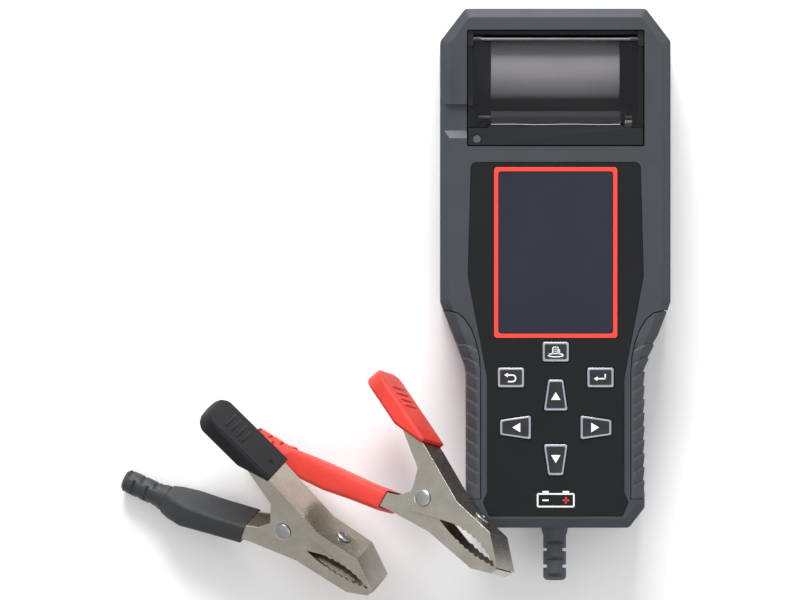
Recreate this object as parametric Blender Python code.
"""Handheld battery tester with a receipt printer and two sprung test clamps.

The tester lies on its back. The origin is the middle of its flat rear face, +Z comes out of the
face with the screen, and +Y runs towards the printer. All sizes are in metres, +Z up.
"""

import math

import bmesh
import bpy
from mathutils import Matrix, Vector

MM = 0.001

# Clearances
GAP = 0.3 * MM  # between two pieces that touch or fit into each other
RUNNING = 0.06 * MM  # radial clearance of a pin in its hole
SLOP = 1.0 * MM  # how far a cutter passes the wall that it opens

# Case
CASE_LENGTH = 230 * MM
CASE_WIDTH = 102 * MM
CASE_HEIGHT = 40 * MM
WAIST_WIDTH = 79 * MM
SHOULDER_WIDTH = 11 * MM  # cut off each top corner, across
SHOULDER_LENGTH = 14.4 * MM  # and along the case
HIP_WIDTH = 7 * MM  # cut off each bottom corner, across
HIP_LENGTH = 9 * MM
TAPER_START = -15 * MM  # where the wide upper part starts to narrow
TAPER_LENGTH = 30 * MM
FACE_BEVEL = 4 * MM
REAR_BEVEL = 3 * MM
SPLIT_HEIGHT = 20 * MM  # parting line between the two shells
SIDE_WALL = 4.2 * MM
FACE_WALL = 4.5 * MM
REAR_WALL = 3 * MM
CORNER_RADIUS = 2.5 * MM
WAIST_RADIUS = 16 * MM
ARC_STEPS = 3

# Case screws, in pairs to the left and right
SCREW_RADIUS = 1.5 * MM
SCREW_HEAD_RADIUS = 2.6 * MM
SCREW_HEAD_HEIGHT = 1.8 * MM
SCREW_SINK = 5 * MM  # depth of the well that the head sits in
BOSS_RADIUS = 4.0 * MM
SCREW_GRIP = 7 * MM  # length of thread in the front shell
SCREW_TOP_Y = 84 * MM
SCREW_MIDDLE_Y = 2 * MM
SCREW_BOTTOM_Y = -99 * MM

# Side grips
GRIP_DEPTH = 1.8 * MM
GRIP_TOP = -19 * MM
GRIP_BOTTOM = -102 * MM
GRIP_REACH = 6.2 * MM  # how far a grip laps onto the face
GRIP_SHOULDER = 13 * MM  # length of the curved upper corner of a grip
GRIP_LOW_EDGE = 6 * MM  # height of its lower edge above the rear face

# Face overlay
OVERLAY_TOP = 46.7 * MM
OVERLAY_BOTTOM = -109.6 * MM
OVERLAY_WIDTH_TOP = 74.6 * MM
OVERLAY_WIDTH_WIDE = 77.4 * MM
OVERLAY_WIDTH_WAIST = 60.2 * MM
OVERLAY_WIDTH_FOOT = 64 * MM
OVERLAY_KNEE = -3.6 * MM  # where its sides start to narrow
OVERLAY_WAIST_TOP = -48.6 * MM
OVERLAY_WAIST_BOTTOM = -99.5 * MM
OVERLAY_FOOT_TOP = -103.6 * MM
OVERLAY_FOOT_CHAMFER = 2.6 * MM
OVERLAY_THICKNESS = 1.2 * MM

# Screen
WINDOW_WIDTH = 50.2 * MM
WINDOW_LENGTH = 71.2 * MM
WINDOW_Y = 6.9 * MM
TRIM_WIDTH = 2.2 * MM
WINDOW_THICKNESS = 1.0 * MM
WINDOW_LEDGE = 1.6 * MM
SCREEN_MARGIN = 2.5 * MM
SCREEN_THICKNESS = 4.2 * MM

# Boards and keys
BOARD_THICKNESS = 1.6 * MM
BOARD_WIDTH = 52 * MM
BOARD_TOP = 47 * MM
BOARD_BOTTOM = -105 * MM
BOARD_UNDERSIDE = 25.5 * MM
MAT_THICKNESS = 3.2 * MM
MAT_MARGIN = 2 * MM
KEY_PROUD = 0.7 * MM  # how far a key stands above the overlay
KEY_TRAVEL = 0.7 * MM
KEY_FLANGE = 0.9 * MM
KEY_FLANGE_DROP = 3.2 * MM
KEY_EDGE = 0.35 * MM
KEY_RADIUS = 0.8 * MM
KEY_WIDTH = 11.8 * MM
KEY_LENGTH = 8.8 * MM
PRINT_KEY_Y = -37.0 * MM
SIDE_KEY_X = 19.8 * MM
SIDE_KEY_Y = -48.4 * MM
ARROW_Y = -70.5 * MM  # middle of the four arrow keys
ARROW_INNER = 10.9 * MM  # from that middle to the near edge of the left and right keys
ARROW_INNER_Y = 7.4 * MM  # and of the up and down keys
ARROW_NEAR = 10.8 * MM  # width of that edge
ARROW_FAR = 6.8 * MM  # width of its far edge
ARROW_DEPTH = 13.8 * MM

# Printer bay
BAY_WIDTH = 78.6 * MM
BAY_TOP = 105.6 * MM
BAY_BOTTOM = 53.9 * MM
BAY_RADIUS = 0.9 * MM
TRAY_WALL = 2.6 * MM
TRAY_END_WALL = 1.7 * MM
TRAY_FLOOR = 2 * MM
TRAY_LIFT = 1.2 * MM  # between the tray and the rear wall
DOOR_THICKNESS = 2.6 * MM
DOOR_SINK = 0.8 * MM  # how far the door lies below the face
PIN_RADIUS = 0.9 * MM
PIN_FROM_TOP = 4.2 * MM
KNUCKLE_RADIUS = 1.8 * MM
KNUCKLE_WIDTH = 3 * MM
LEG_LENGTH = 7 * MM  # of the hinge legs in the top corners
LEG_HEIGHT = 1.6 * MM  # above the pin's axis
BAR_LENGTH = 7.8 * MM
BAR_STEP = 1.3 * MM  # how far the middle of the bar reaches further up
BAR_STEP_WIDTH = 59 * MM
BAR_THICKNESS = 4.2 * MM
SLIT = 0.7 * MM  # paper exit
BAR_SCREW_X = -34.9 * MM
BAR_SCREW_Y = 57.2 * MM
BAR_SCREW_RADIUS = 1.7 * MM
PLATEN_RADIUS = 3.0 * MM
PLATEN_LENGTH = 57 * MM
PLATEN_DROP = 4.2 * MM  # of its axis below the hinge pin
PLATEN_REACH = 34.6 * MM  # from the hinge pin to its axis
SHAFT_RADIUS = 1.1 * MM
GEAR_TEETH = 16
GEAR_RADIUS = 3.9 * MM
GEAR_TOOTH = 0.8 * MM
GEAR_WIDTH = 2 * MM
BRACKET_WIDTH = 2 * MM
PAPER_WIDTH = 57 * MM
PAPER_RADIUS = 13 * MM
CORE_RADIUS = 6.2 * MM
CORE_WALL = 1.0 * MM
PAPER_FROM_TOP = 17 * MM
HEAD_THICKNESS = 2.6 * MM
HEAD_LENGTH = 7 * MM
MOTOR_RADIUS = 6 * MM
MOTOR_LENGTH = 20 * MM
CATCH_WIDTH = 2.2 * MM
CATCH_LENGTH = 4.2 * MM
CATCH_Y = 73.9 * MM
NOTCH_TOP = 72.5 * MM  # thumb notch beside the door
NOTCH_BOTTOM = 57.5 * MM
NOTCH_DEPTH = 2.2 * MM
NOTCH_RAMP = 3.4 * MM

# Battery compartment in the rear shell
BATTERY_Y = -64 * MM
CELL_RADIUS = 7.0 * MM
CELL_LENGTH = 50 * MM
CELL_TIP_RADIUS = 2.6 * MM
CELL_TIP = 1.2 * MM
CELL_COUNT = 4
CELL_PITCH = 14.8 * MM
COVER_MARGIN = 3 * MM  # of the battery cover around the cells
COVER_THICKNESS = 2.2 * MM
HOLDER_WALL = 1.4 * MM

# Strain reliefs
RELIEF_LENGTH = 23.5 * MM
RELIEF_RADIUS = 5.2 * MM
RELIEF_FLARE = 6.1 * MM
RELIEF_BORE = 2.9 * MM
RELIEF_NECK = 4.4 * MM
RELIEF_SLOTS = 5
RELIEF_SLOT_WIDTH = 1.5 * MM
RELIEF_SLOT_DEPTH = 1.3 * MM
RELIEF_SIDES = 14
CLAMP_RELIEF_LENGTH = 21 * MM

# Clamps: x towards the jaw, y towards the upper handle, z across, pivot at the origin
CLAMP_WIDTH = 20 * MM
SHEET = 1.2 * MM
RIVET_RADIUS = 2.0 * MM
RIVET_HEAD_RADIUS = 3.8 * MM
RIVET_HEAD = 1.1 * MM
UPPER_EAR = 7 * MM
LOWER_EAR = 6 * MM
JAW_REACH = 46.8 * MM
JAW_START = 12 * MM
JAW_LINE_START = -4.3 * MM  # height of the line on which the jaws meet, near the pivot
JAW_LINE_END = -9.2 * MM  # and at the tip
UPPER_BULGE = 4.2 * MM  # how far the jaw gap opens above and below that line
LOWER_BULGE = 2.4 * MM
JAW_TEETH = 8
TOOTH_DEPTH = 0.7 * MM
TOOTH_START = 0.3  # share of the jaw's length that has no teeth
UPPER_SPINE = [(36 * MM, 2.7 * MM), (15.4 * MM, 6.6 * MM), (-10.6 * MM, 19.9 * MM)]
UPPER_END = (-49.7 * MM, 36.7 * MM)
LOWER_SPINE = [(35.7 * MM, -15.4 * MM), (9.3 * MM, -11.4 * MM), (-13 * MM, -12.5 * MM)]
LOWER_END = (-47 * MM, -18.4 * MM)
UPPER_ROOT = (-9.2 * MM, 10.2 * MM)  # where the handle's plate runs into the ear
LOWER_ROOT = (-11.6 * MM, -4.5 * MM)
HANDLE_DEPTH = 3.6 * MM
SLEEVE_WALL = 1.7 * MM
HANDLE_ROUND = 8 * MM  # radius of a handle's end corners, seen on its flat side
SLEEVE_FRONT_TOP = 3 * MM  # along the handle from its bend
SLEEVE_FRONT_LOW = 16 * MM
SLEEVE_SOFT = 1.2 * MM  # how far the sleeve's long edges are rounded off
SLEEVE_RADII = [1.0 * MM, 3.4 * MM, 3.4 * MM, 2.0 * MM, 0.4 * MM]
SLIM_SLEEVE_RADII = [0.2 * MM, 2.2 * MM, 2.2 * MM, 1.0 * MM, 0.2 * MM]
BOOT_FRONT = -17 * MM
BOOT_TOP = -9 * MM  # height of its upper side at the handle's end
BOOT_END = {"black": -57 * MM, "red": -70 * MM}
RELIEF_AXIS = {"black": -15.3 * MM, "red": -17.6 * MM}
SPRING_RADIUS = 4.3 * MM
SPRING_WIRE = 0.8 * MM
SPRING_TURNS = 4
SPRING_PITCH = 2.0 * MM
SPRING_LEG = 24 * MM
CONTACT_X = 25 * MM
CONTACT_RADIUS = 3.5 * MM
CONTACT_SHANK = 1.5 * MM
ROUND_SIDES = 20

# Where the clamps lie: pivot, heading of the jaw, nose-up pitch, roll about the long axis.
# Wider clamps lie higher, and the black one further from the red one.
BLACK_PIVOT = Vector((-117.5, -93.2, 16.2)) * MM + CLAMP_WIDTH * Vector((0, -1, 0.5))
BLACK_ANGLES = (-24.2, 10.5, 28.0)
RED_PIVOT = Vector((-54.9, -102.8, 31.9)) * MM + CLAMP_WIDTH * Vector((0, 0, 0.6))
RED_ANGLES = (-31.0, 24.8, 5.0)

# Heights that follow from the sizes above
FACE = CASE_HEIGHT
INNER_FACE = CASE_HEIGHT - FACE_WALL
OVERLAY_FLOOR = FACE - OVERLAY_THICKNESS - GAP
DOOR_TOP = FACE - DOOR_SINK
DOOR_UNDERSIDE = DOOR_TOP - DOOR_THICKNESS
TRAY_BASE = REAR_WALL + TRAY_LIFT
TRAY_TOP = DOOR_UNDERSIDE - GAP
TRAY_WIDTH = BAY_WIDTH - 2 * GAP
TRAY_END = BAY_TOP - GAP
TRAY_START = BAY_BOTTOM + GAP
PIN_Y = BAY_TOP - PIN_FROM_TOP
PIN_Z = DOOR_UNDERSIDE + 0.2 * MM
LEG_INSIDE = TRAY_WIDTH / 2 - TRAY_WALL
BAR_TOP_Y = TRAY_START + BAR_LENGTH
PLATEN_Y = PIN_Y - PLATEN_REACH
PLATEN_Z = PIN_Z - PLATEN_DROP
BATTERY_FLOOR = COVER_THICKNESS + 2 * GAP


# ---------------------------------------------------------------- materials


def material(name, colour, roughness, metallic=0.0, alpha=1.0):
    """A Principled material of one colour."""
    made = bpy.data.materials.new(name)
    made.use_nodes = True
    shader = made.node_tree.nodes["Principled BSDF"]
    shader.inputs["Base Color"].default_value = (*colour, 1.0)
    shader.inputs["Roughness"].default_value = roughness
    shader.inputs["Metallic"].default_value = metallic
    shader.inputs["Alpha"].default_value = alpha
    return made


def make_materials():
    return {
        "case": material("case", (0.085, 0.095, 0.110), 0.5),
        "grip": material("grip", (0.095, 0.100, 0.108), 0.7),
        "overlay": material("overlay", (0.018, 0.020, 0.023), 0.35),
        "trim": material("trim", (0.80, 0.045, 0.025), 0.4),
        "glass": material("glass", (0.030, 0.034, 0.050), 0.08),
        "smoke": material("smoke", (0.030, 0.030, 0.034), 0.12, alpha=0.45),
        "black_plastic": material("black_plastic", (0.020, 0.021, 0.023), 0.4),
        "key": material("key", (0.40, 0.42, 0.47), 0.3, metallic=0.6),
        "silicone": material("silicone", (0.10, 0.10, 0.10), 0.7),
        "board": material("board", (0.02, 0.13, 0.05), 0.5),
        "display": material("display", (0.05, 0.05, 0.06), 0.3),
        "paper": material("paper", (0.80, 0.78, 0.76), 0.85),
        "card": material("card", (0.40, 0.28, 0.16), 0.9),
        "rubber": material("rubber", (0.020, 0.020, 0.021), 0.75),
        "steel": material("steel", (0.55, 0.55, 0.54), 0.3, metallic=1.0),
        "nickel": material("nickel", (0.62, 0.60, 0.54), 0.25, metallic=1.0),
        "aluminium": material("aluminium", (0.70, 0.70, 0.71), 0.4, metallic=1.0),
        "cell": material("cell", (0.05, 0.12, 0.30), 0.4, metallic=0.3),
        "black_vinyl": material("black_vinyl", (0.025, 0.026, 0.028), 0.45),
        "red_vinyl": material("red_vinyl", (0.78, 0.070, 0.045), 0.4),
    }


# ---------------------------------------------------------------- outlines


def inset(corners, distance):
    """A polygon's corners moved inwards by distance, with its sides kept parallel."""
    count = len(corners)
    area = sum(
        a[0] * b[1] - a[1] * b[0] for a, b in zip(corners, corners[1:] + corners[:1])
    )
    turn = 1 if area > 0 else -1
    moved = []
    for index, corner in enumerate(corners):
        here = Vector(corner)
        before = (here - Vector(corners[index - 1])).normalized()
        after = (Vector(corners[(index + 1) % count]) - here).normalized()
        side_before = Vector((-before.y, before.x)) * turn
        side_after = Vector((-after.y, after.x)) * turn
        middle = (side_before + side_after).normalized()
        moved.append(tuple(here + middle * (distance / middle.dot(side_before))))
    return moved


def rounded(corners, radii, steps=ARC_STEPS):
    """A polygon with each corner replaced by a short curve that starts one radius' tangent away."""
    count = len(corners)
    points = []
    for index, corner in enumerate(corners):
        here = Vector(corner)
        before = Vector(corners[index - 1]) - here
        after = Vector(corners[(index + 1) % count]) - here
        turning = math.pi - before.angle(after)
        reach = radii[index] * math.tan(turning / 2)
        start = here + before.normalized() * reach
        end = here + after.normalized() * reach
        for step in range(steps + 1):
            share = step / steps
            first = start.lerp(here, share)
            second = here.lerp(end, share)
            points.append(tuple(first.lerp(second, share)))
    return points


def mirrored(right_half):
    """A closed polygon from the corners of its right half, listed from the top down."""
    return right_half + [(-x, y) for x, y in reversed(right_half)]


def rectangle(width, low_y, high_y, middle_x=0.0):
    half = width / 2
    return [
        (middle_x + half, high_y),
        (middle_x + half, low_y),
        (middle_x - half, low_y),
        (middle_x - half, high_y),
    ]


def case_outline(distance=0.0):
    """The case seen from the front, inset by distance."""
    top = CASE_LENGTH / 2
    corners = mirrored([
        (CASE_WIDTH / 2 - SHOULDER_WIDTH, top),
        (CASE_WIDTH / 2, top - SHOULDER_LENGTH),
        (CASE_WIDTH / 2, TAPER_START),
        (WAIST_WIDTH / 2, TAPER_START - TAPER_LENGTH),
        (WAIST_WIDTH / 2, HIP_LENGTH - top),
        (WAIST_WIDTH / 2 - HIP_WIDTH, -top),
    ])
    outer = CORNER_RADIUS
    half = [outer, outer, 2 * outer, WAIST_RADIUS + distance, outer, outer]
    return rounded(inset(corners, distance), half + half[::-1])


def overlay_outline(distance=0.0):
    """The face overlay seen from the front, inset by distance."""
    corners = mirrored([
        (OVERLAY_WIDTH_TOP / 2, OVERLAY_TOP),
        (OVERLAY_WIDTH_WIDE / 2, OVERLAY_KNEE),
        (OVERLAY_WIDTH_WAIST / 2, OVERLAY_WAIST_TOP),
        (OVERLAY_WIDTH_WAIST / 2, OVERLAY_WAIST_BOTTOM),
        (OVERLAY_WIDTH_FOOT / 2, OVERLAY_FOOT_TOP),
        (OVERLAY_WIDTH_FOOT / 2 - OVERLAY_FOOT_CHAMFER, OVERLAY_BOTTOM),
    ])
    half = [3 * MM, 12 * MM, 12 * MM, 4 * MM, 2 * MM, 1.5 * MM]
    return rounded(inset(corners, distance), half + half[::-1])


# ---------------------------------------------------------------- solids


def add_object(name, mesh, finish=None, parent=None):
    made = bpy.data.objects.new(name, mesh)
    bpy.context.scene.collection.objects.link(made)
    if finish:
        mesh.materials.append(finish)
    if parent:
        made.parent = parent
    return made


def mesh_from(name, points, faces):
    """A mesh with its faces turned outwards."""
    work = bmesh.new()
    vertices = [work.verts.new(point) for point in points]
    for face in faces:
        work.faces.new([vertices[index] for index in face])
    bmesh.ops.recalc_face_normals(work, faces=work.faces)
    mesh = bpy.data.meshes.new(name)
    work.to_mesh(mesh)
    work.free()
    return mesh


def loft(name, rings, finish=None, parent=None):
    """A closed solid through rings of equally many 3-D points."""
    size = len(rings[0])
    points = [point for ring in rings for point in ring]
    faces = [list(range(size)), list(range(len(points) - size, len(points)))]
    for start in range(0, len(points) - size, size):
        for index in range(size):
            after = (index + 1) % size
            faces.append([start + index, start + after, start + size + after, start + size + index])
    return add_object(name, mesh_from(name, points, faces), finish, parent)


def flat_ring(outline, height):
    return [(x, y, height) for x, y in outline]


def prism(name, outline, low, high, finish=None, parent=None):
    return loft(name, [flat_ring(outline, low), flat_ring(outline, high)], finish, parent)


def block(name, low, high, finish=None, parent=None):
    corners = [(low[0], low[1]), (high[0], low[1]), (high[0], high[1]), (low[0], high[1])]
    return prism(name, corners, low[2], high[2], finish, parent)


def turned(name, start, direction, profile, finish=None, parent=None, sides=ROUND_SIDES):
    """A solid of revolution: profile lists (distance along the direction, radius)."""
    axis = Vector(direction).normalized()
    turn = Vector((0, 0, 1)).rotation_difference(axis).to_matrix()
    rings = []
    for along, radius in profile:
        ring = []
        for step in range(sides):
            angle = math.tau * (step + 0.5) / sides
            spoke = Vector((radius * math.cos(angle), radius * math.sin(angle), along))
            ring.append(tuple(Vector(start) + turn @ spoke))
        rings.append(ring)
    return loft(name, rings, finish, parent)


def rod(name, start, end, radius, finish=None, parent=None, sides=ROUND_SIDES):
    span = Vector(end) - Vector(start)
    profile = [(0, radius), (span.length, radius)]
    return turned(name, start, span, profile, finish, parent, sides)


def combine(target, other, operation):
    """Applies one Boolean to the target at once and removes the other solid."""
    other.hide_render = True
    other.display_type = "WIRE"
    modifier = target.modifiers.new(operation.lower(), "BOOLEAN")
    modifier.operation = operation
    modifier.object = other
    bpy.context.view_layer.update()
    graph = bpy.context.evaluated_depsgraph_get()
    mesh = bpy.data.meshes.new_from_object(target.evaluated_get(graph))
    target.modifiers.remove(modifier)
    target.data = mesh
    bpy.data.objects.remove(other)


def cut(target, *cutters):
    for cutter in cutters:
        combine(target, cutter, "DIFFERENCE")


def join(target, *others):
    for other in others:
        combine(target, other, "UNION")


def keep_common(target, other):
    combine(target, other, "INTERSECT")


def finish_shading():
    """Rounds look round and edges stay crisp."""
    for made in bpy.context.scene.collection.objects:
        if made.type == "MESH":
            made.data.shade_smooth()
            made.data.set_sharp_from_angle(angle=math.radians(35))


# ---------------------------------------------------------------- case


def case_solid(name, low, high, distance=0.0):
    """The outside of the case between two heights, shrunk by distance, with its bevels."""
    rings = []
    if low <= 0:
        rings.append(flat_ring(case_outline(REAR_BEVEL + distance), distance))
        rings.append(flat_ring(case_outline(distance), REAR_BEVEL))
    else:
        rings.append(flat_ring(case_outline(distance), low))
    if high >= CASE_HEIGHT:
        rings.append(flat_ring(case_outline(distance), CASE_HEIGHT - FACE_BEVEL))
        rings.append(flat_ring(case_outline(FACE_BEVEL + distance), CASE_HEIGHT - distance))
    else:
        rings.append(flat_ring(case_outline(distance), high))
    return loft(name, rings)


def grip_region(name, side, clearance):
    """Everything beside the case that one grip takes, seen from the front, as a prism."""
    inner = WAIST_WIDTH / 2 - GRIP_REACH - clearance
    outer = CASE_WIDTH / 2 + SLOP
    top = GRIP_TOP + clearance
    bottom = GRIP_BOTTOM - clearance
    steps = 6
    corners = [(side * outer, top), (side * (CASE_WIDTH / 2 - FACE_BEVEL - clearance), top)]
    reach = CASE_WIDTH / 2 - FACE_BEVEL - clearance - inner
    for step in range(1, steps + 1):
        angle = math.pi / 2 * step / steps
        corners.append((
            side * (inner + reach * (1 - math.sin(angle))),
            top - (GRIP_SHOULDER + TAPER_LENGTH / 2) * (1 - math.cos(angle)),
        ))
    corners.append((side * inner, bottom))
    corners.append((side * outer, bottom))
    low = GRIP_LOW_EDGE - clearance
    return prism(name, corners, low, CASE_HEIGHT + SLOP)


def make_grip(name, side, finish):
    grip = case_solid(name, 0, CASE_HEIGHT)
    grip.data.materials.append(finish)
    keep_common(grip, grip_region("region", side, 0.0))
    cut(grip, case_solid("core", 0, CASE_HEIGHT, GRIP_DEPTH))
    return grip


def cut_grip_seats(shell):
    for side in (-1, 1):
        seat = grip_region("seat", side, GAP)
        cut(seat, case_solid("core", 0, CASE_HEIGHT, GRIP_DEPTH + GAP))
        cut(shell, seat)


def screw_places():
    upper_x = CASE_WIDTH / 2 - SIDE_WALL - BOSS_RADIUS + 0.4 * MM
    lower_x = WAIST_WIDTH / 2 - SIDE_WALL - BOSS_RADIUS + 0.4 * MM
    rows = [(upper_x, SCREW_TOP_Y), (upper_x, SCREW_MIDDLE_Y), (lower_x, SCREW_BOTTOM_Y)]
    return [(side * x, y) for x, y in rows for side in (-1, 1)]


def relief_opening(name):
    wall = CASE_LENGTH / 2
    return rod(
        name,
        (0, -wall - SLOP, SPLIT_HEIGHT),
        (0, -wall + SIDE_WALL + SLOP, SPLIT_HEIGHT),
        RELIEF_NECK + GAP,
        sides=RELIEF_SIDES,
    )


def make_front_shell(finish):
    shell = case_solid("front_shell", SPLIT_HEIGHT + GAP, CASE_HEIGHT)
    shell.data.materials.append(finish)
    cut_grip_seats(shell)
    cavity = case_outline(SIDE_WALL)
    cut(shell, prism("cavity", cavity, SPLIT_HEIGHT - SLOP, INNER_FACE))
    for x, y in screw_places():
        top = INNER_FACE + SLOP
        join(shell, rod("boss", (x, y, SPLIT_HEIGHT + GAP), (x, y, top), BOSS_RADIUS, sides=16))
        pilot_end = SPLIT_HEIGHT + SCREW_GRIP + SLOP
        cut(shell, rod("pilot", (x, y, 0), (x, y, pilot_end), SCREW_RADIUS + GAP, sides=12))
    cut(
        shell,
        prism("overlay_seat", overlay_outline(-GAP), OVERLAY_FLOOR, FACE + SLOP),
        prism("screen_opening", screen_opening(), INNER_FACE - SLOP, FACE),
        prism("keypad_opening", keypad_outline(0.0), INNER_FACE - SLOP, FACE),
        prism("bay", bay_outline(0.0), INNER_FACE - SLOP, FACE + SLOP),
        thumb_notch(),
        relief_opening("relief_hole"),
    )
    return shell


def bay_outline(distance):
    corners = inset(rectangle(BAY_WIDTH, BAY_BOTTOM, BAY_TOP), distance)
    return rounded(corners, [BAY_RADIUS] * 4)


def thumb_notch():
    """Cutter for the scooped thumb notch between the left side and the printer bay."""
    outer = -CASE_WIDTH / 2 - SLOP
    inner = -BAY_WIDTH / 2 + SLOP
    floor = FACE - NOTCH_DEPTH
    top = FACE + SLOP
    profile = [
        (NOTCH_TOP, top),
        (NOTCH_TOP, floor),
        (NOTCH_BOTTOM + NOTCH_RAMP, floor),
        (NOTCH_BOTTOM, FACE),
        (NOTCH_BOTTOM, top),
    ]
    rings = [[(x, y, z) for y, z in profile] for x in (outer, inner)]
    return loft("thumb_notch", rings)


def make_rear_shell(finish):
    shell = case_solid("rear_shell", 0, SPLIT_HEIGHT)
    shell.data.materials.append(finish)
    cut_grip_seats(shell)
    cut(shell, prism("cavity", case_outline(SIDE_WALL), REAR_WALL, SPLIT_HEIGHT + SLOP))
    for x, y in screw_places():
        top = SPLIT_HEIGHT
        join(shell, rod("boss", (x, y, REAR_WALL - SLOP), (x, y, top), BOSS_RADIUS, sides=16))
        cut(
            shell,
            rod("hole", (x, y, -SLOP), (x, y, top + SLOP), SCREW_RADIUS + GAP, sides=12),
            rod("well", (x, y, -SLOP), (x, y, SCREW_SINK), SCREW_HEAD_RADIUS + GAP, sides=16),
        )
    cut(
        shell,
        prism("battery_opening", battery_outline(-GAP), -SLOP, REAR_WALL + SLOP),
        relief_opening("relief_hole"),
    )
    return shell


def make_case_screws(finish):
    """Pan-head screws that come up from the rear through the bosses of both shells."""
    length = SPLIT_HEIGHT + SCREW_GRIP - SCREW_SINK
    for number, (x, y) in enumerate(screw_places(), 1):
        head = SCREW_SINK - GAP
        profile = [
            (0, SCREW_RADIUS),
            (length, SCREW_RADIUS),
            (length, SCREW_HEAD_RADIUS - 0.4 * MM),
            (length, SCREW_HEAD_RADIUS),
            (length + SCREW_HEAD_HEIGHT, SCREW_HEAD_RADIUS),
        ]
        start = (x, y, head + length)
        screw = turned(f"case_screw_{number}", start, (0, 0, -1), profile, finish, sides=12)
        cross = block(
            "cross",
            (x - SCREW_RADIUS, y - 0.4 * MM, head - SCREW_HEAD_HEIGHT - SLOP),
            (x + SCREW_RADIUS, y + 0.4 * MM, head - SCREW_HEAD_HEIGHT / 2),
        )
        cut(screw, cross)


# ---------------------------------------------------------------- face


def window_outline(distance):
    """The window seen from the front, grown by distance."""
    low = WINDOW_Y - WINDOW_LENGTH / 2 - distance
    high = WINDOW_Y + WINDOW_LENGTH / 2 + distance
    return rounded(rectangle(WINDOW_WIDTH + 2 * distance, low, high), [1.4 * MM] * 4)


def screen_opening():
    return window_outline(-WINDOW_LEDGE)


def keypad_outline(distance):
    """The area under the overlay that the keypad takes, shrunk by distance."""
    reach = ARROW_INNER + ARROW_DEPTH + KEY_FLANGE + MAT_MARGIN
    width = 2 * reach
    low = ARROW_Y - reach
    high = PRINT_KEY_Y + KEY_LENGTH / 2 + KEY_FLANGE + MAT_MARGIN
    corners = inset(rectangle(width, low, high), distance)
    return rounded(corners, [2 * MM] * 4)


def key_outlines():
    """Name and outline of each key."""
    near = ARROW_NEAR / 2
    far = ARROW_FAR / 2
    end = ARROW_INNER + ARROW_DEPTH
    sideways = [(near, ARROW_INNER), (-near, ARROW_INNER), (-far, end), (far, end)]
    end = ARROW_INNER_Y + ARROW_DEPTH
    upright = [(near, ARROW_INNER_Y), (-near, ARROW_INNER_Y), (-far, end), (far, end)]
    middle_y = {"print": PRINT_KEY_Y, "back": SIDE_KEY_Y, "enter": SIDE_KEY_Y}
    middle_x = {"print": 0.0, "back": -SIDE_KEY_X, "enter": SIDE_KEY_X}
    keys = {}
    for name, y in middle_y.items():
        low = y - KEY_LENGTH / 2
        keys[name] = rectangle(KEY_WIDTH, low, low + KEY_LENGTH, middle_x[name])
    keys["up"] = [(x, ARROW_Y + y) for x, y in upright]
    keys["down"] = [(-x, ARROW_Y - y) for x, y in upright]
    keys["left"] = [(-y, ARROW_Y + x) for x, y in sideways]
    keys["right"] = [(y, ARROW_Y - x) for x, y in sideways]
    return keys


def make_overlay(finish):
    overlay = prism("face_overlay", overlay_outline(), OVERLAY_FLOOR + GAP, FACE, finish)
    below = OVERLAY_FLOOR - SLOP
    cut(overlay, prism("window", window_outline(TRIM_WIDTH + GAP), below, FACE + SLOP))
    for corners in key_outlines().values():
        hole = rounded(inset(corners, -GAP), [KEY_RADIUS + GAP] * 4)
        cut(overlay, prism("key_hole", hole, below, FACE + SLOP))
    return overlay


def make_screen(materials):
    base = OVERLAY_FLOOR + GAP
    trim = prism("window_trim", window_outline(TRIM_WIDTH), base, FACE, materials["trim"])
    cut(trim, prism("inside", window_outline(GAP), base - SLOP, FACE + SLOP))
    top = base + WINDOW_THICKNESS
    prism("lcd_window", window_outline(0.0), base, top, materials["glass"])
    module = window_outline(SCREEN_MARGIN)
    high = INNER_FACE - GAP
    prism("lcd_module", module, high - SCREEN_THICKNESS, high, materials["display"])


def make_keypad(materials):
    board_top = BOARD_UNDERSIDE + BOARD_THICKNESS
    board = rounded(rectangle(BOARD_WIDTH, BOARD_BOTTOM, BOARD_TOP), [2 * MM] * 4)
    prism("main_board", board, BOARD_UNDERSIDE, board_top, materials["board"])
    mat_base = board_top + GAP
    mat_top = mat_base + MAT_THICKNESS
    prism("keypad_mat", keypad_outline(MAT_MARGIN / 2), mat_base, mat_top, materials["silicone"])
    foot = mat_top + KEY_TRAVEL + GAP
    flange_top = OVERLAY_FLOOR - GAP
    flange_base = flange_top - KEY_FLANGE_DROP
    for name, corners in key_outlines().items():
        body = rounded(corners, [KEY_RADIUS] * 4)
        wide = rounded(inset(corners, -KEY_FLANGE), [KEY_RADIUS] * 4)
        crown = rounded(inset(corners, KEY_EDGE), [KEY_RADIUS] * 4)
        low = max(foot, flange_base)
        rings = [
            flat_ring(wide, low),
            flat_ring(wide, flange_top),
            flat_ring(body, flange_top),
            flat_ring(body, FACE + KEY_PROUD - KEY_EDGE),
            flat_ring(crown, FACE + KEY_PROUD),
        ]
        loft(f"key_{name}", rings, materials["key"])


# ---------------------------------------------------------------- printer


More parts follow.
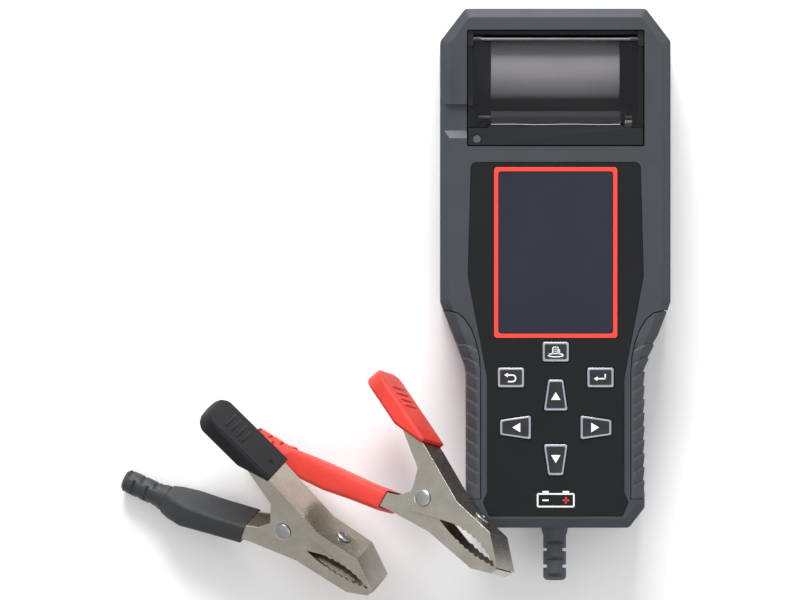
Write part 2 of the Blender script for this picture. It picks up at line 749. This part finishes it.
def make_tray(finish):
    """The moulded tray in the printer bay, with a hinge leg in each top corner."""
    half = TRAY_WIDTH / 2
    tray = block("printer_tray", (-half, TRAY_START, TRAY_BASE), (half, TRAY_END, TRAY_TOP), finish)
    inside = half - TRAY_WALL
    end = TRAY_END - TRAY_END_WALL
    cut(tray, block(
        "hollow",
        (-inside, TRAY_START + TRAY_WALL, TRAY_BASE + TRAY_FLOOR),
        (inside, end, TRAY_TOP + SLOP),
    ))
    cut(tray, block(
        "bar_seat",
        (-half - SLOP, TRAY_START - SLOP, DOOR_TOP - BAR_THICKNESS - GAP),
        (half + SLOP, BAR_TOP_Y + GAP, TRAY_TOP + SLOP),
    ))
    for side in (-1, 1):
        xs = sorted((side * LEG_INSIDE, side * half))
        join(tray, block(
            "leg",
            (xs[0], TRAY_END - LEG_LENGTH, TRAY_TOP - 2 * SLOP),
            (xs[1], TRAY_END, PIN_Z + LEG_HEIGHT),
        ))
        xs = sorted((side * (LEG_INSIDE - SLOP), side * (half - GAP)))
        cut(tray, rod(
            "pin_hole", (xs[0], PIN_Y, PIN_Z), (xs[1], PIN_Y, PIN_Z), PIN_RADIUS + RUNNING
        ))
    catch_x = -half + GAP
    join(tray, block(
        "catch",
        (catch_x, CATCH_Y - CATCH_LENGTH / 2, TRAY_TOP - 2 * SLOP),
        (catch_x + CATCH_WIDTH, CATCH_Y + CATCH_LENGTH / 2, DOOR_TOP - GAP),
    ))
    return tray


def bar_outline():
    half = TRAY_WIDTH / 2 - GAP
    step = BAR_STEP_WIDTH / 2
    low = TRAY_START + GAP
    return mirrored([
        (step, BAR_TOP_Y + BAR_STEP),
        (step + BAR_STEP / 2, BAR_TOP_Y),
        (half, BAR_TOP_Y),
        (half, low),
    ])


def make_bar(materials):
    base = DOOR_TOP - BAR_THICKNESS
    bar = prism("printer_bar", bar_outline(), base, DOOR_TOP, materials["black_plastic"])
    start = (BAR_SCREW_X, BAR_SCREW_Y, DOOR_TOP + SLOP)
    well = DOOR_TOP - 1.6 * MM
    cut(
        bar,
        rod("well", start, (BAR_SCREW_X, BAR_SCREW_Y, well), BAR_SCREW_RADIUS + GAP, sides=16),
    )
    profile = [(0, BAR_SCREW_RADIUS), (1.0 * MM, BAR_SCREW_RADIUS)]
    place = (BAR_SCREW_X, BAR_SCREW_Y, well + GAP)
    screw = turned("printer_screw", place, (0, 0, 1), profile, materials["steel"], sides=16)
    for wide, deep in ((0.3, 1.1), (1.1, 0.3)):
        cut(screw, block(
            "cross",
            (BAR_SCREW_X - wide * MM, BAR_SCREW_Y - deep * MM, place[2] + 0.5 * MM),
            (BAR_SCREW_X + wide * MM, BAR_SCREW_Y + deep * MM, place[2] + 2 * MM),
        ))


def door_outline():
    """The door seen from the front: narrow between the hinge legs, stepped at the paper slit."""
    narrow = LEG_INSIDE - GAP
    wide = TRAY_WIDTH / 2 - GAP
    top = PIN_Y - PIN_RADIUS - GAP
    legs = TRAY_END - LEG_LENGTH - 2 * GAP
    step = BAR_STEP_WIDTH / 2 + GAP
    return mirrored([
        (narrow, top),
        (narrow, legs),
        (wide, legs),
        (wide, BAR_TOP_Y + GAP),
        (step + BAR_STEP / 2, BAR_TOP_Y + GAP),
        (step, BAR_TOP_Y + BAR_STEP + SLIT),
    ])


def make_door(materials):
    """The smoked paper door, which turns on the hinge pin and carries the platen."""
    door = prism("printer_door", door_outline(), DOOR_UNDERSIDE, DOOR_TOP, materials["smoke"])
    knuckle_outside = LEG_INSIDE - GAP
    bracket_inside = PLATEN_LENGTH / 2 + GEAR_WIDTH + 4 * GAP
    for side in (-1, 1):
        ends = [side * knuckle_outside, side * (knuckle_outside - KNUCKLE_WIDTH)]
        join(door, rod("knuckle", (ends[0], PIN_Y, PIN_Z), (ends[1], PIN_Y, PIN_Z), KNUCKLE_RADIUS))
        xs = sorted(ends)
        join(door, block(
            "arm",
            (xs[0], PIN_Y - 4 * MM, PIN_Z),
            (xs[1], PIN_Y, PIN_Z + KNUCKLE_RADIUS - 0.1 * MM),
        ))
        xs = sorted((side * bracket_inside, side * (bracket_inside + BRACKET_WIDTH)))
        join(door, block(
            "bracket",
            (xs[0], PLATEN_Y - 2.4 * MM, PLATEN_Z - 2.1 * MM),
            (xs[1], PLATEN_Y + 2.4 * MM, DOOR_UNDERSIDE + SLOP),
        ))
    far = knuckle_outside + SLOP
    cut(door, rod("pin_hole", (-far, PIN_Y, PIN_Z), (far, PIN_Y, PIN_Z), PIN_RADIUS + RUNNING))
    hole = SHAFT_RADIUS + RUNNING
    cut(door, rod("shaft_hole", (-far, PLATEN_Y, PLATEN_Z), (far, PLATEN_Y, PLATEN_Z), hole))
    catch_x = -TRAY_WIDTH / 2 + GAP + CATCH_WIDTH + GAP
    cut(door, block(
        "catch_notch",
        (-TRAY_WIDTH / 2 - SLOP, CATCH_Y - CATCH_LENGTH / 2 - GAP, DOOR_UNDERSIDE - SLOP),
        (catch_x, CATCH_Y + CATCH_LENGTH / 2 + GAP, DOOR_TOP + SLOP),
    ))
    pin_end = TRAY_WIDTH / 2 - 2 * GAP
    ends = [(-pin_end, PIN_Y, PIN_Z), (pin_end, PIN_Y, PIN_Z)]
    rod("door_pin", *ends, PIN_RADIUS, materials["steel"])
    return door


def gear_outline():
    points = []
    for tooth in range(GEAR_TEETH):
        for share, radius in (
            (0.0, GEAR_RADIUS - GEAR_TOOTH),
            (0.35, GEAR_RADIUS - GEAR_TOOTH),
            (0.5, GEAR_RADIUS),
            (0.85, GEAR_RADIUS),
        ):
            angle = math.tau * (tooth + share) / GEAR_TEETH
            points.append((radius * math.cos(angle), radius * math.sin(angle)))
    return points


def make_platen(materials):
    """Rubber roller and gear on one shaft, in the door's brackets."""
    half = PLATEN_LENGTH / 2
    centre = Vector((0, PLATEN_Y, PLATEN_Z))
    across = Vector((1, 0, 0))
    roller = rod(
        "platen_roller", centre - across * half, centre + across * half, PLATEN_RADIUS,
        materials["rubber"],
    )
    bore = SHAFT_RADIUS + GAP
    far = across * (half + SLOP)
    cut(roller, rod("bore", centre - far, centre + far, bore, sides=16))
    reach = across * (half + GEAR_WIDTH + 4 * GAP + BRACKET_WIDTH + GAP)
    rod("platen_shaft", centre - reach, centre + reach, SHAFT_RADIUS, materials["steel"])
    start = half + GAP
    rings = [
        [(x, PLATEN_Y + y, PLATEN_Z + z) for y, z in gear_outline()]
        for x in (start, start + GEAR_WIDTH)
    ]
    gear = loft("platen_gear", rings, materials["black_plastic"])
    cut(gear, rod("bore", centre, centre + far * 2, bore, sides=16))


def make_paper(materials):
    """The paper roll on its cardboard core, lying in the tray."""
    centre_y = BAY_TOP - PAPER_FROM_TOP
    centre_z = TRAY_BASE + TRAY_FLOOR + 2 * GAP + PAPER_RADIUS
    half = PAPER_WIDTH / 2
    ends = [Vector((x, centre_y, centre_z)) for x in (-half, half)]
    past = Vector((SLOP, 0, 0))
    roll = rod("paper_roll", *ends, PAPER_RADIUS, materials["paper"], sides=40)
    cut(roll, rod("hole", ends[0] - past, ends[1] + past, CORE_RADIUS + GAP))
    core = rod("paper_core", *ends, CORE_RADIUS, materials["card"])
    cut(core, rod("hole", ends[0] - past, ends[1] + past, CORE_RADIUS - CORE_WALL))


def make_print_head(materials):
    """The thermal head in front of the platen, and the motor that feeds the paper."""
    high = DOOR_TOP - BAR_THICKNESS - 2 * GAP
    face = PLATEN_Y - PLATEN_RADIUS - GAP
    half = PLATEN_LENGTH / 2
    head = block(
        "thermal_head",
        (-half, face - HEAD_THICKNESS, high - HEAD_LENGTH),
        (half, face, high),
        materials["aluminium"],
    )
    middle = Vector((0, TRAY_START + TRAY_WALL + MOTOR_RADIUS + SLOP, 0))
    middle.z = TRAY_BASE + TRAY_FLOOR + GAP + MOTOR_RADIUS
    inside = TRAY_WIDTH / 2 - TRAY_WALL - 2 * MM
    start = middle + Vector((inside - MOTOR_LENGTH, 0, 0))
    rod("feed_motor", start, middle + Vector((inside, 0, 0)), MOTOR_RADIUS, materials["steel"])
    return head


# ---------------------------------------------------------------- battery compartment


def battery_outline(distance):
    """The battery cover seen from behind, shrunk by distance."""
    width = CELL_COUNT * CELL_PITCH + 2 * COVER_MARGIN
    half_length = CELL_LENGTH / 2 + CELL_TIP + COVER_MARGIN
    corners = rectangle(width, BATTERY_Y - half_length, BATTERY_Y + half_length)
    return rounded(inset(corners, distance), [3 * MM] * 4)


def cell_middles():
    first = -CELL_PITCH * (CELL_COUNT - 1) / 2
    return [first + CELL_PITCH * index for index in range(CELL_COUNT)]


def make_batteries(materials):
    """Cells side by side in a holder, closed by a cover in the rear face."""
    cover = prism("battery_cover", battery_outline(0.0), 0.0, COVER_THICKNESS, materials["case"])
    low_z = BATTERY_FLOOR
    high_z = low_z + 2 * CELL_RADIUS + 2 * GAP + HOLDER_WALL
    holder_inset = GAP + 0.2 * MM
    holder = prism(
        "cell_holder", battery_outline(holder_inset + HOLDER_WALL / 2), REAR_WALL + GAP, high_z,
        materials["black_plastic"],
    )
    room = battery_outline(holder_inset + HOLDER_WALL * 1.5)
    cut(holder, prism("room", room, 0.0, high_z - HOLDER_WALL))
    for number, x in enumerate(cell_middles(), 1):
        facing = 1 if number % 2 else -1
        start = (x, BATTERY_Y - facing * CELL_LENGTH / 2, low_z + CELL_RADIUS)
        profile = [
            (0, CELL_RADIUS),
            (CELL_LENGTH, CELL_RADIUS),
            (CELL_LENGTH, CELL_TIP_RADIUS),
            (CELL_LENGTH + CELL_TIP, CELL_TIP_RADIUS),
        ]
        turned(f"cell_{number}", start, (0, facing, 0), profile, materials["cell"], sides=20)
    place_y = BATTERY_Y + CELL_LENGTH / 2 + CELL_TIP + COVER_MARGIN / 2
    for x in (-1, 0, 1):
        rib = block(
            "finger_rib",
            (x * 8 * MM - 2.5 * MM, place_y - 4.4 * MM, -SLOP),
            (x * 8 * MM + 2.5 * MM, place_y - 3.4 * MM, 0.5 * MM),
        )
        cut(cover, rib)


# ---------------------------------------------------------------- strain reliefs


def make_relief(name, start, direction, side, length, finish, parent=None, neck=0.0):
    """A bending relief: a slotted rubber sleeve, open along its bore for the lead.

    side points across the relief, and neck is the length of the thinner part inside the case.
    """
    start = Vector(start)
    axis = Vector(direction)
    side = Vector(side)
    profile = []
    if neck:
        flange = 2 * MM
        back = -neck - flange
        profile += [(back, RELIEF_FLARE), (-neck, RELIEF_FLARE)]
        profile += [(-neck, RELIEF_NECK), (0.0, RELIEF_NECK)]
    profile += [
        (0.0, RELIEF_FLARE),
        (2.0 * MM, RELIEF_FLARE - 0.3 * MM),
        (3.6 * MM, RELIEF_RADIUS),
        (length - 1.2 * MM, RELIEF_RADIUS),
        (length, RELIEF_RADIUS - 1.2 * MM),
    ]
    relief = turned(name, start, axis, profile, finish, parent, sides=RELIEF_SIDES)
    back = start + axis * (profile[0][0] - SLOP)
    bore = rod("bore", back, start + axis * (length + SLOP), RELIEF_BORE, sides=RELIEF_SIDES)
    bore.parent = parent
    cut(relief, bore)
    up = axis.cross(side)
    pitch = (length - 5 * MM) / RELIEF_SLOTS
    for number in range(RELIEF_SLOTS):
        middle = start + axis * (5 * MM + pitch * (number + 0.35))
        outward, along = (up, side) if number % 2 == 0 else (side, up)
        for sign in (-1, 1):
            near = RELIEF_RADIUS - RELIEF_SLOT_DEPTH
            slot = oriented_block(
                middle + outward * sign * (near + RELIEF_RADIUS) / 2,
                (axis, outward, along),
                (RELIEF_SLOT_WIDTH, RELIEF_RADIUS - near + SLOP, 2 * RELIEF_RADIUS + SLOP),
            )
            slot.parent = parent
            cut(relief, slot)
    return relief


def oriented_block(centre, axes, sizes):
    """A block about a centre, with its sides along three given directions."""
    rings = []
    for end in (-0.5, 0.5):
        ring = []
        for first, second in ((-0.5, -0.5), (0.5, -0.5), (0.5, 0.5), (-0.5, 0.5)):
            corner = Vector(centre)
            corner += axes[0] * sizes[0] * first
            corner += axes[1] * sizes[1] * second
            corner += axes[2] * sizes[2] * end
            ring.append(tuple(corner))
        rings.append(ring)
    return loft("slot", rings)


# ---------------------------------------------------------------- clamps


def jaw_edge(bulge, tooth):
    """The edge of one jaw from near the pivot to the tip: a shallow arch with scalloped teeth."""
    points = []
    plain_steps = 4
    shares = [TOOTH_START * step / plain_steps for step in range(plain_steps)]
    teeth_steps = 2 * JAW_TEETH
    shares += [
        TOOTH_START + (1 - TOOTH_START) * step / teeth_steps for step in range(teeth_steps + 1)
    ]
    for index, share in enumerate(shares):
        x = JAW_START + (JAW_REACH - JAW_START) * share
        line = JAW_LINE_START + (JAW_LINE_END - JAW_LINE_START) * share
        y = line + bulge * math.sin(math.pi * share) + math.copysign(GAP, bulge)
        toothed = index >= plain_steps and (index - plain_steps) % 2 == 1
        points.append((x, y - (tooth if toothed else 0.0)))
    return points


def arc(radius, start, end, steps):
    """Points on a circle about the pivot, from one angle to another, in degrees."""
    angles = [math.radians(start + (end - start) * step / steps) for step in range(steps + 1)]
    return [(radius * math.cos(angle), radius * math.sin(angle)) for angle in angles]


def handle_frame(spine, end):
    """Start, direction and upward normal of a handle."""
    start = Vector(spine[-1])
    direction = (Vector(end) - start).normalized()
    normal = Vector((-direction.y, direction.x))
    if normal.y < 0:
        normal = -normal
    return start, direction, normal


def handle_outline(spine, end, inside, swell, root):
    """Side view of a handle: along the web to its end, and back along the plates' edge."""
    start, direction, normal = handle_frame(spine, end)
    deep = HANDLE_DEPTH * inside
    back = Vector(end) + normal * deep
    middle = start + direction * SLEEVE_FRONT_LOW + normal * (deep + swell * inside)
    return [spine[-1], end, tuple(back), tuple(middle), root]


def upper_handle():
    return handle_outline(UPPER_SPINE, UPPER_END, -1, 0.0, UPPER_ROOT)


def lower_handle():
    return handle_outline(LOWER_SPINE, LOWER_END, 1, 1.5 * MM, LOWER_ROOT)


def upper_outline():
    """Side view of the upper lever, from the tip along the web and back along the jaw."""
    tip = [(JAW_REACH + 0.4 * MM, JAW_LINE_END + GAP)]
    ear = arc(UPPER_EAR, 165, 300, 6)
    edge = jaw_edge(UPPER_BULGE, TOOTH_DEPTH)
    return tip + UPPER_SPINE[:-1] + upper_handle() + ear + edge


def lower_outline():
    """Side view of the lower lever, from the tip along the web and back along the jaw."""
    tip = [(JAW_REACH + 0.4 * MM, JAW_LINE_END - GAP), (45.2 * MM, -12.6 * MM)]
    ear = arc(LOWER_EAR, 170, 20, 6)
    edge = jaw_edge(-LOWER_BULGE, -TOOTH_DEPTH)
    return tip + LOWER_SPINE[:-1] + lower_handle() + ear + edge


def along_handle(name, spine, end, plan, parent):
    """A prism over a plan of (distance along the handle, distance across it)."""
    start, direction, normal = handle_frame(spine, end)
    rings = []
    for height in (-JAW_REACH, JAW_REACH):
        base = start + normal * height
        rings.append([(*(base + direction * along), across) for along, across in plan])
    return loft(name, rings, parent=parent)


def round_handle_end(target, spine, end, half_width, grow, parent):
    """Rounds the two end corners of a handle, seen on its flat side."""
    length = (Vector(end) - Vector(spine[-1])).length + grow
    radius = HANDLE_ROUND + grow
    back = length - radius
    for side in (-1, 1):
        centre = half_width - radius
        corner = [(back, side * (half_width + SLOP)), (back, side * half_width)]
        for step in range(1, 6):
            angle = math.pi / 2 * step / 5
            along = back + radius * math.sin(angle)
            corner.append((along, side * (centre + radius * math.cos(angle))))
        corner.append((length + SLOP, side * centre))
        corner.append((length + SLOP, side * (half_width + SLOP)))
        cut(target, along_handle("corner", spine, end, corner, parent))


def side_prism(name, outline, half_width, finish=None, parent=None):
    return prism(name, outline, -half_width, half_width, finish, parent)


def channel_room(spine, end, away):
    """Outline of the hollow under a lever's web: its spine moved in by the sheet thickness."""
    tip = (JAW_REACH + 0.4 * MM, JAW_LINE_END)
    line = [Vector(tip)] + [Vector(point) for point in spine] + [Vector(end)]
    line[-1] = line[-1] + (line[-1] - line[-2]).normalized() * 3 * MM
    moved = []
    for index, point in enumerate(line):
        before = line[max(index - 1, 0)]
        after = line[min(index + 1, len(line) - 1)]
        along = (after - before).normalized()
        normal = Vector((-along.y, along.x))
        if normal.y * away < 0:
            normal = -normal
        moved.append(tuple(point + normal * SHEET))
    moved[0] = (moved[0][0] - SHEET, moved[0][1])
    far = away * 60 * MM
    return moved + [(moved[-1][0], far), (moved[0][0], far)]


def make_lever(name, outline, spine, end, away, half_width, materials, parent):
    """A pressed steel lever: a web along its spine and two side plates that the rivet joins."""
    lever = side_prism(name, outline, half_width, materials["nickel"], parent)
    room = channel_room(spine, end, away)
    hollow = side_prism("hollow", room, half_width - SHEET, parent=parent)
    reach = half_width + SLOP
    hole = rod("hole", (0, 0, -reach), (0, 0, reach), RIVET_RADIUS + RUNNING, parent=parent)
    cut(lever, hollow, hole)
    round_handle_end(lever, spine, end, half_width, 0.0, parent)
    return lever


def make_rivet(name, materials, parent):
    half = CLAMP_WIDTH / 2 + GAP
    top = half + RIVET_HEAD
    edge = RIVET_HEAD_RADIUS - 0.8 * MM
    profile = [
        (-top, edge),
        (-half - RIVET_HEAD / 3, RIVET_HEAD_RADIUS),
        (-half, RIVET_HEAD_RADIUS),
        (-half, RIVET_RADIUS),
        (half, RIVET_RADIUS),
        (half, RIVET_HEAD_RADIUS),
        (half + RIVET_HEAD / 3, RIVET_HEAD_RADIUS),
        (top, edge),
    ]
    turned(name, (0, 0, 0), (0, 0, 1), profile, materials["steel"], parent)


def make_contact(name, lever, materials, parent):
    """The domed contact screw in the web of the upper jaw."""
    near = Vector(UPPER_SPINE[0])
    far = Vector(UPPER_SPINE[1])
    share = (near.x - CONTACT_X) / (near.x - far.x)
    middle = near.lerp(far, share)
    along = (near - far).normalized()
    normal = Vector((-along.y, along.x, 0))
    centre = Vector((middle.x, middle.y, 0))
    reach = 2.2 * MM
    hole = rod(
        "hole", centre - normal * 2 * SHEET, centre + normal * SLOP,
        CONTACT_SHANK + GAP, parent=parent, sides=12,
    )
    cut(lever, hole)
    profile = [
        (-SHEET - reach, CONTACT_SHANK),
        (GAP, CONTACT_SHANK),
        (GAP, CONTACT_RADIUS),
        (GAP + 0.5 * MM, CONTACT_RADIUS),
        (GAP + 1.2 * MM, CONTACT_RADIUS - 1.1 * MM),
    ]
    turned(name, centre, normal, profile, materials["steel"], parent, sides=16)


def make_sleeve(name, finish, parent):
    """The dipped vinyl sleeve on the upper handle, open towards the pivot."""
    start, direction, normal = handle_frame(UPPER_SPINE, UPPER_END)
    length = (Vector(UPPER_END) - start).length
    over = GAP + SLEEVE_WALL
    front_top = start + direction * SLEEVE_FRONT_TOP
    front_low = start + direction * (SLEEVE_FRONT_LOW + 1.5 * MM)
    end = start + direction * (length + over)
    deep = HANDLE_DEPTH + over
    corners = [
        tuple(front_top + normal * over),
        tuple(end + normal * over),
        tuple(end - normal * deep),
        tuple(front_low - normal * deep),
        tuple(front_top - normal * (0.5 * MM)),
    ]
    half = CLAMP_WIDTH / 2 + over
    outline = rounded(corners, SLEEVE_RADII)
    slim = rounded(inset(corners, SLEEVE_SOFT), SLIM_SLEEVE_RADII)
    rings = [
        flat_ring(slim, -half),
        flat_ring(outline, -half + SLEEVE_SOFT),
        flat_ring(outline, half - SLEEVE_SOFT),
        flat_ring(slim, half),
    ]
    sleeve = loft(name, rings, finish, parent)
    round_handle_end(sleeve, UPPER_SPINE, UPPER_END, half, over, parent)
    half = CLAMP_WIDTH / 2 + GAP
    room = side_prism("room", inset(upper_handle(), -GAP), half, parent=parent)
    round_handle_end(room, UPPER_SPINE, UPPER_END, half, GAP, parent)
    cut(sleeve, room)
    return sleeve


def boot_section(x, low, high, half_width):
    """One rounded section of the boot, across the clamp's long axis."""
    corners = [(low, -half_width), (high, -half_width), (high, half_width), (low, half_width)]
    radius = min(high - low, 2 * half_width) * 0.3
    return [(x, y, z) for y, z in rounded(corners, [radius] * 4)]


def make_boot(name, boot_end, relief_axis, finish, parent):
    """The vinyl boot over the lower handle, which narrows towards the lead."""
    start, direction, _ = handle_frame(LOWER_SPINE, LOWER_END)
    over = GAP + SLEEVE_WALL
    half = CLAMP_WIDTH / 2 - SHEET - GAP + over
    end = Vector(LOWER_END)
    neck_low = relief_axis - RELIEF_FLARE + 0.8 * MM
    neck_high = relief_axis + RELIEF_FLARE - 0.8 * MM
    front_y = start.y + direction.y / direction.x * (BOOT_FRONT - start.x)
    end_low = end.y - over
    end_high = BOOT_TOP
    middle_x = (end.x + boot_end) / 2 - 1 * MM
    middle_low = (end_low + neck_low) / 2 - 0.4 * MM
    middle_high = (end_high + neck_high) / 2
    sections = [
        boot_section(BOOT_FRONT, front_y - over, front_y + 8.0 * MM, half),
        boot_section((BOOT_FRONT + end.x) / 2, (front_y + end_low) / 2 - over / 2, -7.6 * MM, half),
        boot_section(end.x + 1 * MM, end_low - 0.3 * MM, end_high, half - 0.3 * MM),
        boot_section(middle_x, middle_low, middle_high, half - 2.4 * MM),
        boot_section(boot_end, neck_low, neck_high, RELIEF_FLARE),
    ]
    boot = loft(name, sections, finish, parent)
    room = inset(lower_handle(), -GAP)
    cut(boot, side_prism("room", room, CLAMP_WIDTH / 2 - SHEET, parent=parent))
    return boot


def make_spring(name, materials, parent):
    """The torsion spring around the rivet, with one leg against each handle."""
    points = []
    half = SPRING_TURNS * SPRING_PITCH / 2
    upper_start, upper_direction, _ = handle_frame(UPPER_SPINE, UPPER_END)
    lower_start, lower_direction, _ = handle_frame(LOWER_SPINE, LOWER_END)
    first_angle = math.radians(60)
    last_angle = math.radians(-60) + math.tau * SPRING_TURNS
    steps = SPRING_TURNS * 10
    helix = []
    for step in range(steps + 1):
        share = step / steps
        angle = first_angle + (last_angle - first_angle) * share
        helix.append((
            SPRING_RADIUS * math.cos(angle),
            SPRING_RADIUS * math.sin(angle),
            -half + 2 * half * share,
        ))
    under = SHEET + SPRING_WIRE + 2 * GAP
    upper_normal = Vector((upper_direction.y, -upper_direction.x))
    upper_tip = upper_start + upper_direction * (SPRING_LEG - 9 * MM)
    upper_tip += upper_normal * (-under if upper_normal.y > 0 else under)
    lower_normal = Vector((lower_direction.y, -lower_direction.x))
    lower_tip = lower_start + lower_direction * (SPRING_LEG - 14 * MM)
    lower_tip += lower_normal * (under if lower_normal.y > 0 else -under)
    points.append((upper_tip.x, upper_tip.y, -half))
    points += helix
    points.append((lower_tip.x, lower_tip.y, half))
    curve = bpy.data.curves.new(name, "CURVE")
    curve.dimensions = "3D"
    curve.bevel_depth = SPRING_WIRE
    curve.bevel_resolution = 1
    curve.use_fill_caps = True
    spline = curve.splines.new("POLY")
    spline.points.add(len(points) - 1)
    for target, point in zip(spline.points, points):
        target.co = (*point, 1.0)
    add_object(name, curve, materials["steel"], parent)


def make_clamp(colour, place, angles, materials):
    """One sprung test clamp: two levers on a rivet, both handles in vinyl, and the lead's relief."""
    heading, pitch, roll = (math.radians(angle) for angle in angles)
    holder = bpy.data.objects.new(f"{colour}_pivot", None)
    bpy.context.scene.collection.objects.link(holder)
    turn = Matrix.Rotation(heading, 4, "Z")
    turn = turn @ Matrix.Rotation(-pitch, 4, "Y")
    turn = turn @ Matrix.Rotation(roll, 4, "X")
    holder.matrix_world = Matrix.Translation(place) @ turn
    vinyl = materials[f"{colour}_vinyl"]
    half = CLAMP_WIDTH / 2
    upper = make_lever(
        f"{colour}_upper_lever", upper_outline(), UPPER_SPINE, UPPER_END, -1,
        half, materials, holder,
    )
    make_lever(
        f"{colour}_lower_lever", lower_outline(), LOWER_SPINE, LOWER_END, 1,
        half - SHEET - GAP, materials, holder,
    )
    make_rivet(f"{colour}_rivet", materials, holder)
    make_contact(f"{colour}_contact_screw", upper, materials, holder)
    make_sleeve(f"{colour}_handle_sleeve", vinyl, holder)
    boot_end = BOOT_END[colour]
    relief_axis = RELIEF_AXIS[colour]
    make_boot(f"{colour}_lead_boot", boot_end, relief_axis, vinyl, holder)
    make_relief(
        f"{colour}_strain_relief", (boot_end - GAP, relief_axis, 0), (-1, 0, 0), (0, 0, 1),
        CLAMP_RELIEF_LENGTH, vinyl, holder,
    )
    make_spring(f"{colour}_spring", materials, holder)


# ---------------------------------------------------------------- assembly


def clear_scene():
    for old in list(bpy.data.objects):
        bpy.data.objects.remove(old)


def main():
    clear_scene()
    materials = make_materials()
    make_front_shell(materials["case"])
    make_rear_shell(materials["case"])
    make_grip("grip_left", -1, materials["grip"])
    make_grip("grip_right", 1, materials["grip"])
    make_case_screws(materials["steel"])
    make_overlay(materials["overlay"])
    make_screen(materials)
    make_keypad(materials)
    make_tray(materials["black_plastic"])
    make_bar(materials)
    make_door(materials)
    make_platen(materials)
    make_paper(materials)
    make_print_head(materials)
    make_batteries(materials)
    make_relief(
        "case_strain_relief", (0, -CASE_LENGTH / 2 - GAP, SPLIT_HEIGHT), (0, -1, 0), (1, 0, 0),
        RELIEF_LENGTH, materials["rubber"], neck=SIDE_WALL + 2 * GAP,
    )
    make_clamp("black", BLACK_PIVOT, BLACK_ANGLES, materials)
    make_clamp("red", RED_PIVOT, RED_ANGLES, materials)
    finish_shading()


main()
